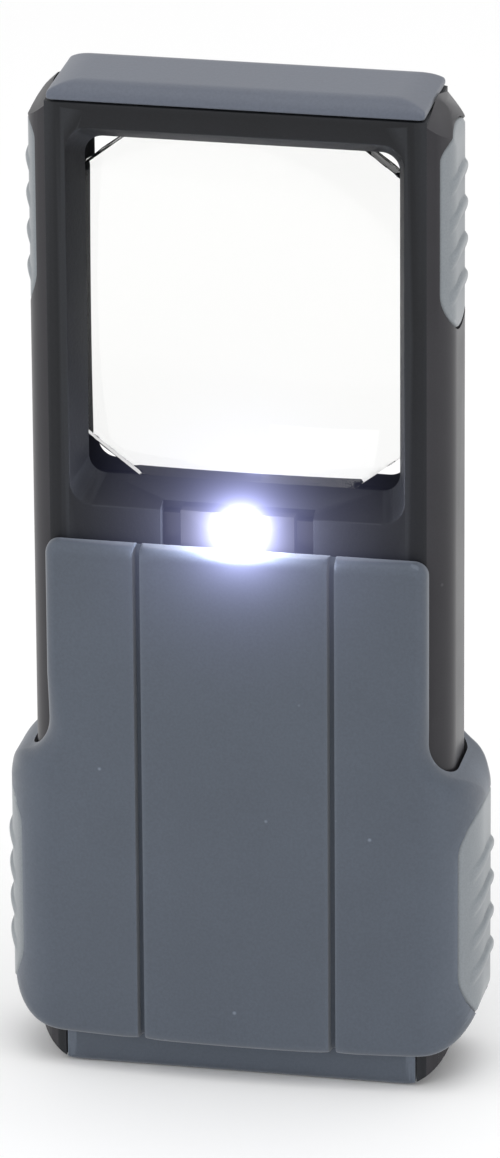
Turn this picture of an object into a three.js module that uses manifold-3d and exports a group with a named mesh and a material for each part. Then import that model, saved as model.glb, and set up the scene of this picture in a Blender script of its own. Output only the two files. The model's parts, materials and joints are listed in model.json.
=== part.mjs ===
// A slide-open pocket magnifier with a light, in millimetres, +Z up, front towards -Y.
// The frame stands on z = 0 and carries the lens; the sleeve slides up the frame to cover the lens;
// the battery drawer slides down out of the frame's foot.
import * as THREE from "three";
import { mergeVertices } from "three/addons/utils/BufferGeometryUtils.js";
import Module from "manifold-3d";

const wasm = await Module();
wasm.setup();

// ---- driving dimensions -------------------------------------------------------------------

const HEIGHT = 101.6; // the whole frame
const FRAME_WIDTH = 41.6; // across both rails
const FRAME_DEPTH = 12; // front face to back face
const SEAM = 18.5; // half the width of the housings, where the rails begin
const TOP_CORNER = 5.5; // outline radius of the frame's top corners
const FOOT_CORNER = 5.5; // outline radius of the frame's bottom corners
const TOP_ROUND = 2.4; // rounding of the top edges, front and back
const FOOT_ROUND = 0.8; // rounding of the bottom edges, front and back
const SIDE_ROUND = { x: 4.3, y: 4.0 }; // rounding of the long edges, seen from above
const WALL = 1.4;
const FIT = 0.15; // gap round a piece that is set into another
const RUNNING = 0.3; // gap between pieces that slide

const CAP_SEAM = 99.8; // lower edge of the top cap
// The facet on each top corner of the frame.
const PETAL = { point: [19.32, 4.21, 98.77], facing: [0.715, 0.184, 0.675], size: 12 };

const WINDOW = { width: 32.8, bottom: 59.05, top: 97.45, corner: 2.3 }; // at the front and back faces
const WINDOW_INNER = { width: 30.6, bottom: 61.05, top: 95.45, corner: 1.8 }; // at the lens
const LENS = { width: 32.6, bottom: 59.9, top: 96.6, thickness: 6.2, radius: 100, rings: 7 };
const LENS_CORNER = { x: 6.6, z: 5.1 }; // how much each corner of the lens is cut off
const LENS_SEAT = { depth: 2.2, side: 16.6, bottom: 59.6, top: 96.9 };

const NOTCH = { half: 7.5, bottom: 46, top: 59.65, back: -3.6 }; // in the front housing, round the light
const LED_HOLDER = { half: 5.6, bottom: 46.6, top: 59.05, front: -5.7, back: -2.7, flangeHalf: 8.6, lip: 0.5 };
const LED = { radius: 1.5, length: 4.4, rim: 1.9, rimThickness: 0.8, tilt: 20, tip: [0, -5.75, 57.4] };

const CAVITY = { half: SEAM - WALL, depth: FRAME_DEPTH / 2 - WALL, bottom: 6.8, top: 58.4 };
const BOARD = { half: 8.5, bottom: 27, top: 56, front: -1.3, back: -0.5 };
const BOARD_POST = { half: 1, inset: 1.5, levels: [32, 42] };
const RESISTOR = { left: 3.2, right: 6.4, bottom: 44, top: 45.6, thickness: 0.6 };
const STRIP = 0.3; // thickness of the spring metal
const NEGATIVE_STRIP = { half: 2.5, bottom: 14, top: 30, foot: 1.5 };
const POSITIVE_STRIP = { left: -6, right: 2, footRight: -3, back: 2.1, top: 31 };
const SWITCH_STRIP = { half: 1.2, front: 3.3, bottom: 9.2, top: 31, bumpHalf: 1, bumpTop: 10.6 };
const SCREW = { x: 14.5, levels: [14, 50], head: 1.5, shank: 0.75, end: -3.4, point: 0.8, top: 5.7 };
const SCREW_HEAD = { height: 0.9, edge: 0.3, crown: 0.5, slotHalf: 0.2, slotReach: 1, slotDepth: 0.5 };
const SCREW_SEAT = { boss: 2.1, gap: 0.3, depth: 1.2 };

const CELL = { radius: 8, thickness: 2, z: 16, gap: 0.1, bevel: 0.3 };
const TRAY = { half: 10, front: -2.2, back: 2.9, top: 25.5, pocket: 8.25, pocketBack: 2.3, guide: 1 };
const FOOT = { half: 17.45, top: 5.2 };

const UPPER_GRIP = { half: 4.6, bottom: 77.7, top: 98.2, floor: 18.95, tipY: 4.6, tipZ: 2.6 };
const UPPER_RIBS = { first: 82.35, pitch: 3.7, reach: 0.4 };

const SLEEVE = { half: 23.55, bottom: 3.6, top: 55.6, crown: 8.5, edge: 7.4, tongue: 18.8 };
const SLEEVE_CORNER = { foot: 6, tongue: 1.5, fillet: 4.4, filletZ: 36.6, shoulder: 3.5, sideY: 1.5 };
const SLEEVE_LINE = { x: 9.55, width: 0.5, depth: 0.5 };
const SLEEVE_GRIP = { half: 5.9, bottom: 6.4, top: 29.1, floor: 22.3, tipY: 4.4, tipZ: 4.4 };
const SLEEVE_RIBS = { first: 12.7, pitch: 3.6, reach: 0.4 };
const TRAVEL = 43.5; // how far the sleeve slides
const PEG = { half: 1.5, bottom: 8.5, height: 3, face: 5.5 };
const GUIDE = { half: 1.8, floor: 5.0 };

const RIB = { count: 4, halfHeight: 0.75, halfLength: 3.4, sunk: 0.05, sides: 14, rings: 10 };
const ROUND_STEPS = 8; // straight pieces in a quarter of a rounding
const FINE_SIDES = 40; // straight pieces round a cell or the lens
const SMALL_SIDES = 20; // and round a screw or the light
const PAST = 1; // how far a cutting shape runs past the face it cuts

// ---- solids -------------------------------------------------------------------------------

function solidOf(geometry) {
  geometry.deleteAttribute("normal");
  geometry.deleteAttribute("uv");
  const merged = mergeVertices(geometry, 1e-4);
  const vertProperties = merged.getAttribute("position").array;
  const triVerts = new Uint32Array(merged.index.array);
  const solid = new wasm.Manifold(new wasm.Mesh({ numProp: 3, vertProperties, triVerts }));
  if (solid.volume() > 0) return solid;
  // The outline ran the other way round, so the faces are turned to point outwards.
  triVerts.reverse();
  return new wasm.Manifold(new wasm.Mesh({ numProp: 3, vertProperties, triVerts }));
}

function geometryOf(solid) {
  const mesh = solid.getMesh();
  const geometry = new THREE.BufferGeometry();
  geometry.setAttribute("position", new THREE.BufferAttribute(mesh.vertProperties, 3));
  geometry.setIndex(new THREE.BufferAttribute(mesh.triVerts, 1));
  return geometry;
}

const cut = (solid, ...tools) => tools.reduce((left, tool) => left.subtract(tool), solid);
const join = (...solids) => solids.reduce((sum, solid) => sum.add(solid));
const common = (...solids) => solids.reduce((sum, solid) => sum.intersect(solid));

const X = new THREE.Vector3(1, 0, 0);
const Y = new THREE.Vector3(0, 1, 0);
const Z = new THREE.Vector3(0, 0, 1);
// Where an outline's own x, y and thickness point, for a prism that runs along each axis.
const PRISM_BASES = {
  x: new THREE.Matrix4().makeBasis(Y, Z, X),
  y: new THREE.Matrix4().makeBasis(X, Z, Y.clone().negate()),
  z: new THREE.Matrix4().makeBasis(X, Y, Z),
};

// A prism of a flat outline between two stations on an axis.
function prism(shape, axis, from, to, steps = ROUND_STEPS) {
  const depth = to - from;
  const geometry = new THREE.ExtrudeGeometry(shape, { depth, bevelEnabled: false, curveSegments: steps });
  geometry.translate(0, 0, axis === "y" ? -to : from);
  geometry.applyMatrix4(PRISM_BASES[axis]);
  return solidOf(geometry);
}

function box(x0, x1, y0, y1, z0, z1) {
  const geometry = new THREE.BoxGeometry(x1 - x0, y1 - y0, z1 - z0);
  geometry.translate((x0 + x1) / 2, (y0 + y1) / 2, (z0 + z1) / 2);
  return solidOf(geometry);
}

// A round bar along Y.
function barAlongY(radius, y0, y1, x, z, sides = SMALL_SIDES) {
  const geometry = new THREE.CylinderGeometry(radius, radius, y1 - y0, sides);
  geometry.translate(x, (y0 + y1) / 2, z);
  return solidOf(geometry);
}

// A closed solid between two outlines with the same number of points, one at each station on Y.
function taper(outlineA, yA, outlineB, yB) {
  const count = outlineA.length;
  const positions = [];
  outlineA.forEach((p) => positions.push(p.x, yA, p.y));
  outlineB.forEach((p) => positions.push(p.x, yB, p.y));
  const index = [];
  for (let i = 0; i < count; i += 1) {
    const next = (i + 1) % count;
    index.push(i, next, count + next);
    index.push(i, count + next, count + i);
  }
  THREE.ShapeUtils.triangulateShape(outlineA, []).forEach(([a, b, c]) => {
    index.push(a, c, b);
    index.push(count + a, count + b, count + c);
  });
  const geometry = new THREE.BufferGeometry();
  geometry.setAttribute("position", new THREE.Float32BufferAttribute(positions, 3));
  geometry.setIndex(index);
  return solidOf(geometry);
}

// ---- outlines -----------------------------------------------------------------------------

// A rectangle with its own radius at each corner, listed from the lower left, anticlockwise.
function roundedRectangle(x0, y0, x1, y1, radii) {
  const [lowerLeft, lowerRight, upperRight, upperLeft] = radii;
  const shape = new THREE.Shape();
  shape.absarc(x0 + lowerLeft, y0 + lowerLeft, lowerLeft, Math.PI, 1.5 * Math.PI);
  shape.absarc(x1 - lowerRight, y0 + lowerRight, lowerRight, 1.5 * Math.PI, 2 * Math.PI);
  shape.absarc(x1 - upperRight, y1 - upperRight, upperRight, 0, 0.5 * Math.PI);
  shape.absarc(x0 + upperLeft, y1 - upperLeft, upperLeft, 0.5 * Math.PI, Math.PI);
  shape.closePath();
  return shape;
}

// The frame seen from above, grown by a gap on every side.
function framePlan(gap) {
  const halfX = FRAME_WIDTH / 2 + gap;
  const halfY = FRAME_DEPTH / 2 + gap;
  const roundX = SIDE_ROUND.x;
  const roundY = SIDE_ROUND.y;
  const shape = new THREE.Shape();
  const corners = [[-1, -1, 1], [1, -1, 1.5], [1, 1, 0], [-1, 1, 0.5]];
  corners.forEach(([sideX, sideY, turn]) => {
    const start = turn * Math.PI;
    const x = sideX * (halfX - roundX);
    const y = sideY * (halfY - roundY);
    shape.absellipse(x, y, roundX, roundY, start, start + Math.PI / 2);
  });
  shape.closePath();
  return shape;
}

// The sleeve seen from above: a crowned front and back with rounded long edges.
function sleevePlan() {
  const { half, crown, edge, tongue } = SLEEVE;
  const { sideY } = SLEEVE_CORNER;
  const arcRadius = (tongue ** 2 + (crown - edge) ** 2) / (2 * (crown - edge));
  const sweep = Math.asin(tongue / arcRadius);
  const shape = new THREE.Shape();
  shape.absarc(0, arcRadius - crown, arcRadius, 1.5 * Math.PI - sweep, 1.5 * Math.PI + sweep);
  shape.absellipse(tongue, -sideY, half - tongue, edge - sideY, 1.5 * Math.PI, 2 * Math.PI);
  shape.absellipse(tongue, sideY, half - tongue, edge - sideY, 0, 0.5 * Math.PI);
  shape.absarc(0, crown - arcRadius, arcRadius, 0.5 * Math.PI - sweep, 0.5 * Math.PI + sweep);
  shape.absellipse(-tongue, sideY, half - tongue, edge - sideY, 0.5 * Math.PI, Math.PI);
  shape.absellipse(-tongue, -sideY, half - tongue, edge - sideY, Math.PI, 1.5 * Math.PI);
  shape.closePath();
  return shape;
}

// The sleeve seen from the front: a wide lower body, shoulders that dip to the rails, and a tongue.
function sleeveOutline() {
  const { half, bottom, top, tongue } = SLEEVE;
  const { foot, fillet, filletZ, shoulder } = SLEEVE_CORNER;
  const filletX = tongue + fillet;
  const shoulderX = half - shoulder;
  const shoulderZ = filletZ - Math.sqrt((fillet + shoulder) ** 2 - (filletX - shoulderX) ** 2);
  const meet = Math.atan2(filletZ - shoulderZ, filletX - shoulderX);
  const tip = SLEEVE_CORNER.tongue;
  const shape = new THREE.Shape();
  shape.absarc(foot - half, bottom + foot, foot, Math.PI, 1.5 * Math.PI);
  shape.absarc(half - foot, bottom + foot, foot, 1.5 * Math.PI, 2 * Math.PI);
  shape.absarc(shoulderX, shoulderZ, shoulder, 0, meet);
  shape.absarc(filletX, filletZ, fillet, meet + Math.PI, Math.PI, true);
  shape.absarc(tongue - tip, top - tip, tip, 0, 0.5 * Math.PI);
  shape.absarc(tip - tongue, top - tip, tip, 0.5 * Math.PI, Math.PI);
  shape.absarc(-filletX, filletZ, fillet, 0, -meet, true);
  shape.absarc(-shoulderX, shoulderZ, shoulder, Math.PI - meet, Math.PI);
  shape.closePath();
  return shape;
}

const windowOutline = ({ width, bottom, top, corner }) =>
  roundedRectangle(-width / 2, bottom, width / 2, top, [corner, corner, corner, corner]);

// The corners of a closed outline, with its last point not repeating the first.
const cornersOf = (shape) => shape.getPoints(ROUND_STEPS).slice(0, -1);

// ---- the frame ----------------------------------------------------------------------------

// The whole outside of the frame, as if it were one block.
function frameBlock() {
  const halfX = FRAME_WIDTH / 2;
  const halfY = FRAME_DEPTH / 2;
  const radii = [FOOT_CORNER, FOOT_CORNER, TOP_CORNER, TOP_CORNER];
  const outline = roundedRectangle(-halfX, 0, halfX, HEIGHT, radii);
  const ends = [FOOT_ROUND, FOOT_ROUND, TOP_ROUND, TOP_ROUND];
  const profile = roundedRectangle(-halfY, 0, halfY, HEIGHT, ends);
  return common(
    prism(outline, "y", -halfY, halfY),
    prism(profile, "x", -halfX, halfX),
    prism(framePlan(0), "z", 0, HEIGHT),
  );
}

// Everything beyond the facet on one top corner of the frame, on the front (-1) or back (1).
function beyondPetal(side, depthSide) {
  const { size } = PETAL;
  const geometry = new THREE.BoxGeometry(size, size, size);
  geometry.translate(0, 0, size / 2);
  const [px, py, pz] = PETAL.point;
  const [fx, fy, fz] = PETAL.facing;
  const facing = new THREE.Vector3(side * fx, depthSide * fy, fz).normalize();
  geometry.applyQuaternion(new THREE.Quaternion().setFromUnitVectors(Z, facing));
  geometry.translate(side * px, depthSide * py, pz);
  return solidOf(geometry);
}

// The outline of a grip seen from the side, grown by a gap: a straight strip with a round foot
// and two rounded corners at its tip.
function gripOutline(grip, gap) {
  const half = grip.half + gap;
  const roundY = grip.tipY + gap;
  const roundZ = grip.tipZ + gap;
  const footZ = grip.bottom + grip.half;
  const tipZ = grip.top - grip.tipZ;
  const shape = new THREE.Shape();
  shape.absarc(0, footZ, half, Math.PI, 1.5 * Math.PI);
  shape.absarc(0, footZ, half, 1.5 * Math.PI, 2 * Math.PI);
  shape.absellipse(half - roundY, tipZ, roundY, roundZ, 0, 0.5 * Math.PI);
  shape.absellipse(roundY - half, tipZ, roundY, roundZ, 0.5 * Math.PI, Math.PI);
  shape.closePath();
  return shape;
}

// The room a grip takes on one side, from its floor outwards.
function gripSpace(grip, side, gap) {
  const inner = side * (grip.floor - gap);
  const outer = side * FRAME_WIDTH;
  return prism(gripOutline(grip, gap), "x", Math.min(inner, outer), Math.max(inner, outer));
}

function ribs(side, face, settings) {
  return Array.from({ length: RIB.count }, (_, i) => {
    const geometry = new THREE.SphereGeometry(1, RIB.sides, RIB.rings);
    geometry.scale(settings.reach + RIB.sunk, RIB.halfLength, RIB.halfHeight);
    geometry.translate(side * (face - RIB.sunk), 0, settings.first + i * settings.pitch);
    return solidOf(geometry);
  });
}

function makeRail(block, side) {
  const near = side * SEAM;
  const far = side * FRAME_WIDTH;
  const strip = box(Math.min(near, far), Math.max(near, far), -FRAME_DEPTH, FRAME_DEPTH, 0, HEIGHT);
  const rail = common(block, strip);
  return cut(rail, beyondPetal(side, -1), beyondPetal(side, 1), gripSpace(UPPER_GRIP, side, FIT));
}

function makeUpperGrip(block, side) {
  return join(common(block, gripSpace(UPPER_GRIP, side, 0)), ...ribs(side, FRAME_WIDTH / 2, UPPER_RIBS));
}

function makeTopCap(block) {
  const inner = SEAM - FIT;
  return common(block, box(-inner, inner, -FRAME_DEPTH, FRAME_DEPTH, CAP_SEAM + FIT, HEIGHT));
}

// The two sloping window openings and the seat that holds the lens between them.
function windowSpace() {
  const face = cornersOf(windowOutline(WINDOW));
  const inner = cornersOf(windowOutline(WINDOW_INNER));
  const halfY = FRAME_DEPTH / 2;
  const { depth, side, bottom, top } = LENS_SEAT;
  const through = prism(windowOutline(WINDOW_INNER), "y", -halfY, halfY);
  const seat = box(-side, side, -depth, depth, bottom, top);
  return join(taper(face, -halfY, inner, -depth), taper(inner, depth, face, halfY), through, seat);
}

// The room inside the housings, with the slot in the foot that the drawer runs through.
function innerSpace() {
  const { half, depth, bottom, top } = CAVITY;
  const slot = [-TRAY.half - RUNNING, TRAY.half + RUNNING, TRAY.front - RUNNING, TRAY.back + RUNNING];
  return join(
    box(-half, half, -depth, depth, bottom, top),
    box(...slot, FOOT.top, bottom + PAST),
    box(-FOOT.half - FIT, FOOT.half + FIT, -FRAME_DEPTH, FRAME_DEPTH, -PAST, FOOT.top + FIT),
  );
}

// One half of the hollow housing, between the seams, in front of (-1) or behind (1) the middle.
function housingShell(block, depthSide) {
  const far = depthSide * FRAME_DEPTH;
  const half = box(-SEAM, SEAM, Math.min(0, far), Math.max(0, far), 0, CAP_SEAM);
  return cut(common(block, half), windowSpace(), innerSpace());
}

const screwPlaces = SCREW.levels.flatMap((z) => [[-SCREW.x, z], [SCREW.x, z]]);

// Walls beside the drawer that keep it straight.
function drawerGuides(depthSide) {
  const inner = TRAY.half + RUNNING;
  const y0 = Math.min(0, depthSide * CAVITY.depth);
  const y1 = Math.max(0, depthSide * CAVITY.depth);
  return [-1, 1].map((side) => {
    const x0 = Math.min(side * inner, side * (inner + TRAY.guide));
    return box(x0, x0 + TRAY.guide, y0, y1, CAVITY.bottom, BOARD.bottom);
  });
}

function makeFrontHousing(block) {
  const bosses = screwPlaces.map(([x, z]) => barAlongY(SCREW_SEAT.boss, -CAVITY.depth, 0, x, z));
  const holes = screwPlaces.map(([x, z]) => barAlongY(SCREW.shank + FIT, SCREW.end - FIT, PAST, x, z));
  const posts = BOARD_POST.levels.flatMap((z) => [-1, 1].map((side) => {
    const x = side * (BOARD.half - BOARD_POST.inset);
    const { half } = BOARD_POST;
    return box(x - half, x + half, -CAVITY.depth, BOARD.front, z - half, z + half);
  }));
  const { half, bottom, top, back } = NOTCH;
  const notch = box(-half, half, -FRAME_DEPTH, back, bottom, top);
  const shell = join(housingShell(block, -1), ...bosses, ...drawerGuides(-1), ...posts);
  return cut(shell, notch, ...holes);
}

function makeBackHousing(block) {
  const bosses = screwPlaces.map(([x, z]) => barAlongY(SCREW_SEAT.boss, 0, CAVITY.depth, x, z));
  const holes = screwPlaces.map(([x, z]) => barAlongY(SCREW.shank + FIT, -PAST, FRAME_DEPTH, x, z));
  const sinks = screwPlaces.map(([x, z]) => {
    return barAlongY(SCREW.head + SCREW_SEAT.gap, SCREW.top - SCREW_SEAT.depth, FRAME_DEPTH, x, z);
  });
  const groove = box(
    -GUIDE.half, GUIDE.half, GUIDE.floor, FRAME_DEPTH,
    PEG.bottom - RUNNING, PEG.bottom + PEG.height + TRAVEL + RUNNING,
  );
  const { half, bottom, height } = PEG;
  const leafWindow = box(-half, half, CAVITY.depth - PAST, FRAME_DEPTH, bottom, bottom + height);
  const shell = join(housingShell(block, 1), ...bosses, ...drawerGuides(1));
  return cut(shell, groove, leafWindow, ...holes, ...sinks);
}

// A square lens with its corners cut off, bulging towards both faces.
function makeLens() {
  const { width, bottom, top, thickness, radius, rings } = LENS;
  const half = width / 2;
  const nearX = half - LENS_CORNER.x;
  const nearBottom = bottom + LENS_CORNER.z;
  const nearTop = top - LENS_CORNER.z;
  const corners = [
    [-nearX, bottom], [nearX, bottom], [half, nearBottom], [half, nearTop],
    [nearX, top], [-nearX, top], [-half, nearTop], [-half, nearBottom],
  ];
  const shape = new THREE.Shape(corners.map(([x, z]) => new THREE.Vector2(x, z)));
  const blank = prism(shape, "y", -thickness, thickness);
  const reach = Math.hypot(half, (top - bottom) / 2) + PAST;
  const stations = Array.from({ length: rings + 1 }, (_, i) => (reach * i) / rings);
  const rise = (r) => thickness / 2 - (radius - Math.sqrt(radius ** 2 - r ** 2));
  const under = stations.map((r) => new THREE.Vector2(r, -rise(r)));
  const over = stations.map((r) => new THREE.Vector2(r, rise(r))).reverse();
  const disc = new THREE.LatheGeometry([...under, ...over], FINE_SIDES);
  disc.translate(0, 0, (bottom + top) / 2);
  return common(blank, solidOf(disc));
}

// ---- the light and its parts --------------------------------------------------------------

const ledTurn = new THREE.Matrix4().makeRotationX(THREE.MathUtils.degToRad(180 - LED.tilt));

// A round bar along the light's own axis, measured back from its tip.
function alongLight(profile) {
  const points = profile.map(([r, h]) => new THREE.Vector2(r, h));
  const geometry = new THREE.LatheGeometry(points, SMALL_SIDES);
  geometry.applyMatrix4(ledTurn);
  geometry.translate(...LED.tip);
  return solidOf(geometry);
}

function makeLed() {
  const { radius, length, rim, rimThickness } = LED;
  const dome = Array.from({ length: ROUND_STEPS + 1 }, (_, i) => {
    const angle = (i * Math.PI) / (2 * ROUND_STEPS);
    return [radius * Math.sin(angle), -radius * (1 - Math.cos(angle))];
  });
  const stem = [[radius, rimThickness - length], [rim, rimThickness - length], [rim, -length], [0, -length]];
  return alongLight([...dome, ...stem].reverse());
}

// A block that fills the notch from behind, with a round hole for the light.
function makeLedHolder() {
  const { half, bottom, top, front, back, flangeHalf, lip } = LED_HOLDER;
  const flangeTop = CAVITY.top - FIT;
  const block = box(-half, half, front, back, bottom, flangeTop);
  const hood = box(-half, half, front, NOTCH.back - FIT, flangeTop - lip, top);
  const flange = box(-flangeHalf, flangeHalf, -CAVITY.depth + FIT, back, bottom, flangeTop);
  const hole = LED.rim + FIT;
  const start = -LED.length - 2 * PAST;
  const end = 2 * PAST;
  return cut(join(block, hood, flange), alongLight([[0, start], [hole, start], [hole, end], [0, end]]));
}

function makeCircuitBoard() {
  return box(-BOARD.half, BOARD.half, BOARD.front, BOARD.back, BOARD.bottom, BOARD.top);
}

function makeResistor() {
  const { left, right, bottom, top, thickness } = RESISTOR;
  return box(left, right, BOARD.front - thickness, BOARD.front, bottom, top);
}

// A spring strip from the board's front down to the flat face of the front cell.
function makeNegativeContact() {
  const { half, bottom, top, foot } = NEGATIVE_STRIP;
  const face = -CELL.thickness - CELL.gap / 2 - RUNNING;
  const strip = box(-half, half, face - STRIP, face, bottom, top);
  return join(strip, box(-half, half, face - STRIP, BOARD.front, top - foot, top));
}

// A spring strip from the board's back that stands just above the cells' rims.
function makePositiveContact() {
  const { left, right, footRight, back, top } = POSITIVE_STRIP;
  const rim = CELL.z + CELL.radius + RUNNING;
  const leaf = box(left, right, BOARD.back, back, rim, rim + STRIP);
  return join(leaf, box(left, footRight, BOARD.back, BOARD.back + STRIP, rim, top));
}

// A strip from the board's back to the window where the sleeve's peg presses it.
function makeSwitchLeaf() {
  const { half, front, bottom, top, bumpHalf, bumpTop } = SWITCH_STRIP;
  const back = front + STRIP;
  const strip = box(-half, half, front, back, bottom, top);
  const foot = box(-half, half, BOARD.back, back, top - STRIP, top);
  const bump = box(-bumpHalf, bumpHalf, front, PEG.face - RUNNING, bottom, bumpTop);
  return join(strip, foot, bump);
}

// ---- the battery drawer -------------------------------------------------------------------

function makeBottomCap(block) {
  return common(block, box(-FOOT.half, FOOT.half, -FRAME_DEPTH, FRAME_DEPTH, 0, FOOT.top));
}

// A tray with a round pocket for two coin cells, open at the front and at the top.
function makeDrawerTray() {
  const { half, front, back, top, pocket, pocketBack } = TRAY;
  const body = box(-half, half, front, back, FOOT.top, top);
  const round = barAlongY(pocket, front - PAST, pocketBack, 0, CELL.z, FINE_SIDES);
  const mouth = box(-pocket, pocket, front - PAST, pocketBack, CELL.z, top + PAST);
  return cut(body, round, mouth);
}

function makeCoinCell(order) {
  const middle = order * (CELL.thickness + CELL.gap) / 2;
  const half = CELL.thickness / 2;
  const { radius, bevel } = CELL;
  const profile = [
    [0, -half], [radius - bevel, -half], [radius, bevel - half],
    [radius, half - bevel], [radius - bevel, half], [0, half],
  ];
  const geometry = new THREE.LatheGeometry(profile.map(([r, h]) => new THREE.Vector2(r, h)), FINE_SIDES);
  geometry.translate(0, middle, CELL.z);
  return solidOf(geometry);
}

// A small self-tapping screw with a cross cut in its head, along Y from the back.
function makeScrew([x, z]) {
  const { head, shank, end, point, top } = SCREW;
  const { height, edge, crown, slotHalf, slotReach, slotDepth } = SCREW_HEAD;
  const profile = [
    [0, end], [shank, end + point], [shank, top - height],
    [head, top - height], [head, top - edge], [head - crown, top], [0, top],
  ];
  const geometry = new THREE.LatheGeometry(profile.map(([r, h]) => new THREE.Vector2(r, h)), SMALL_SIDES);
  const across = box(-slotReach, slotReach, top - slotDepth, top + PAST, -slotHalf, slotHalf);
  const along = box(-slotHalf, slotHalf, top - slotDepth, top + PAST, -slotReach, slotReach);
  return cut(solidOf(geometry), across, along).translate([x, 0, z]);
}

// ---- the sleeve ---------------------------------------------------------------------------

// The grooves that run down the front and the back face of the sleeve.
function sleeveLines() {
  const { x, width, depth } = SLEEVE_LINE;
  const face = SLEEVE.crown - depth - (SLEEVE.crown - SLEEVE.edge) * (x / SLEEVE.tongue) ** 2;
  return [-1, 1].flatMap((side) => [-1, 1].map((depthSide) => {
    const y0 = Math.min(depthSide * face, depthSide * FRAME_DEPTH);
    return box(side * x - width / 2, side * x + width / 2, y0, y0 + FRAME_DEPTH - face, 0, HEIGHT);
  }));
}

// The whole outside of the sleeve, as if it were one block.
function sleeveBlock() {
  return common(
    prism(sleevePlan(), "z", SLEEVE.bottom, SLEEVE.top),
    prism(sleeveOutline(), "y", -FRAME_DEPTH, FRAME_DEPTH),
  );
}

function makeSleeveShell(block, depthSide) {
  const far = depthSide * FRAME_DEPTH;
  const half = box(-FRAME_WIDTH, FRAME_WIDTH, Math.min(0, far), Math.max(0, far), 0, HEIGHT);
  const room = prism(framePlan(RUNNING), "z", 0, HEIGHT);
  const pockets = [gripSpace(SLEEVE_GRIP, -1, FIT), gripSpace(SLEEVE_GRIP, 1, FIT)];
  return cut(common(block, half), room, ...sleeveLines(), ...pockets);
}

function makeSleeveBackShell(block) {
  const { half, bottom, height, face } = PEG;
  return join(makeSleeveShell(block, 1), box(-half, half, face, SLEEVE.edge, bottom, bottom + height));
}

function makeSleeveGrip(block, side) {
  return join(common(block, gripSpace(SLEEVE_GRIP, side, 0)), ...ribs(side, SLEEVE.half, SLEEVE_RIBS));
}

// ---- the assembly -------------------------------------------------------------------------

const FINISH = {
  grainedBlack: { color: 0x2e3033, roughness: 0.62, metalness: 0 },
  satinBlack: { color: 0x3f3e41, roughness: 0.4, metalness: 0 },
  sleeveBlue: { color: 0x58626c, roughness: 0.75, metalness: 0 },
  capBlue: { color: 0x707884, roughness: 0.7, metalness: 0 },
  gripGrey: { color: 0x91989e, roughness: 0.7, metalness: 0 },
  lensClear: { color: 0xf4f6f8, roughness: 0.05, metalness: 0, transparent: true, opacity: 0.35 },
  ledClear: { color: 0xeef0ff, roughness: 0.1, metalness: 0, emissive: 0xdcdcff },
  boardGreen: { color: 0x1d5a38, roughness: 0.5, metalness: 0 },
  chipBlack: { color: 0x18181a, roughness: 0.5, metalness: 0 },
  springBrass: { color: 0xc8b070, roughness: 0.35, metalness: 1 },
  cellSteel: { color: 0xc6c8ca, roughness: 0.3, metalness: 1 },
  screwSteel: { color: 0x6c6e72, roughness: 0.35, metalness: 1 },
};

const magnifier = new THREE.Group();

function add(group, name, solid, finish) {
  const mesh = new THREE.Mesh(geometryOf(solid), new THREE.MeshStandardMaterial(FINISH[finish]));
  mesh.name = name;
  group.add(mesh);
}

function addFrame() {
  const group = new THREE.Group();
  const block = frameBlock();
  add(group, "front_housing", makeFrontHousing(block), "grainedBlack");
  add(group, "back_housing", makeBackHousing(block), "grainedBlack");
  add(group, "left_rail", makeRail(block, -1), "satinBlack");
  add(group, "right_rail", makeRail(block, 1), "satinBlack");
  add(group, "top_cap", makeTopCap(block), "capBlue");
  add(group, "left_upper_grip", makeUpperGrip(block, -1), "gripGrey");
  add(group, "right_upper_grip", makeUpperGrip(block, 1), "gripGrey");
  add(group, "lens", makeLens(), "lensClear");
  add(group, "led_holder", makeLedHolder(), "satinBlack");
  add(group, "led", makeLed(), "ledClear");
  add(group, "circuit_board", makeCircuitBoard(), "boardGreen");
  add(group, "resistor", makeResistor(), "chipBlack");
  add(group, "negative_contact", makeNegativeContact(), "springBrass");
  add(group, "positive_contact", makePositiveContact(), "springBrass");
  add(group, "switch_leaf", makeSwitchLeaf(), "springBrass");
  screwPlaces.forEach((place, i) => add(group, `housing_screw_${i + 1}`, makeScrew(place), "screwSteel"));
  magnifier.add(group);
}

function addDrawer() {
  const group = new THREE.Group();
  add(group, "bottom_cap", makeBottomCap(frameBlock()), "sleeveBlue");
  add(group, "drawer_tray", makeDrawerTray(), "grainedBlack");
  add(group, "coin_cell_1", makeCoinCell(-1), "cellSteel");
  add(group, "coin_cell_2", makeCoinCell(1), "cellSteel");
  magnifier.add(group);
}

function addSleeve() {
  const group = new THREE.Group();
  const block = sleeveBlock();
  add(group, "sleeve_front_shell", makeSleeveShell(block, -1), "sleeveBlue");
  add(group, "sleeve_back_shell", makeSleeveBackShell(block), "sleeveBlue");
  add(group, "sleeve_left_grip", makeSleeveGrip(block, -1), "gripGrey");
  add(group, "sleeve_right_grip", makeSleeveGrip(block, 1), "gripGrey");
  magnifier.add(group);
}

addFrame();
addDrawer();
addSleeve();

export default magnifier;
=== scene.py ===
import json
import logging
import math
from bisect import bisect_left
from collections.abc import Callable, Iterator
from contextlib import contextmanager
from dataclasses import dataclass, field
from enum import Enum

import bmesh
import bpy
from mathutils import Matrix, Vector

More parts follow.
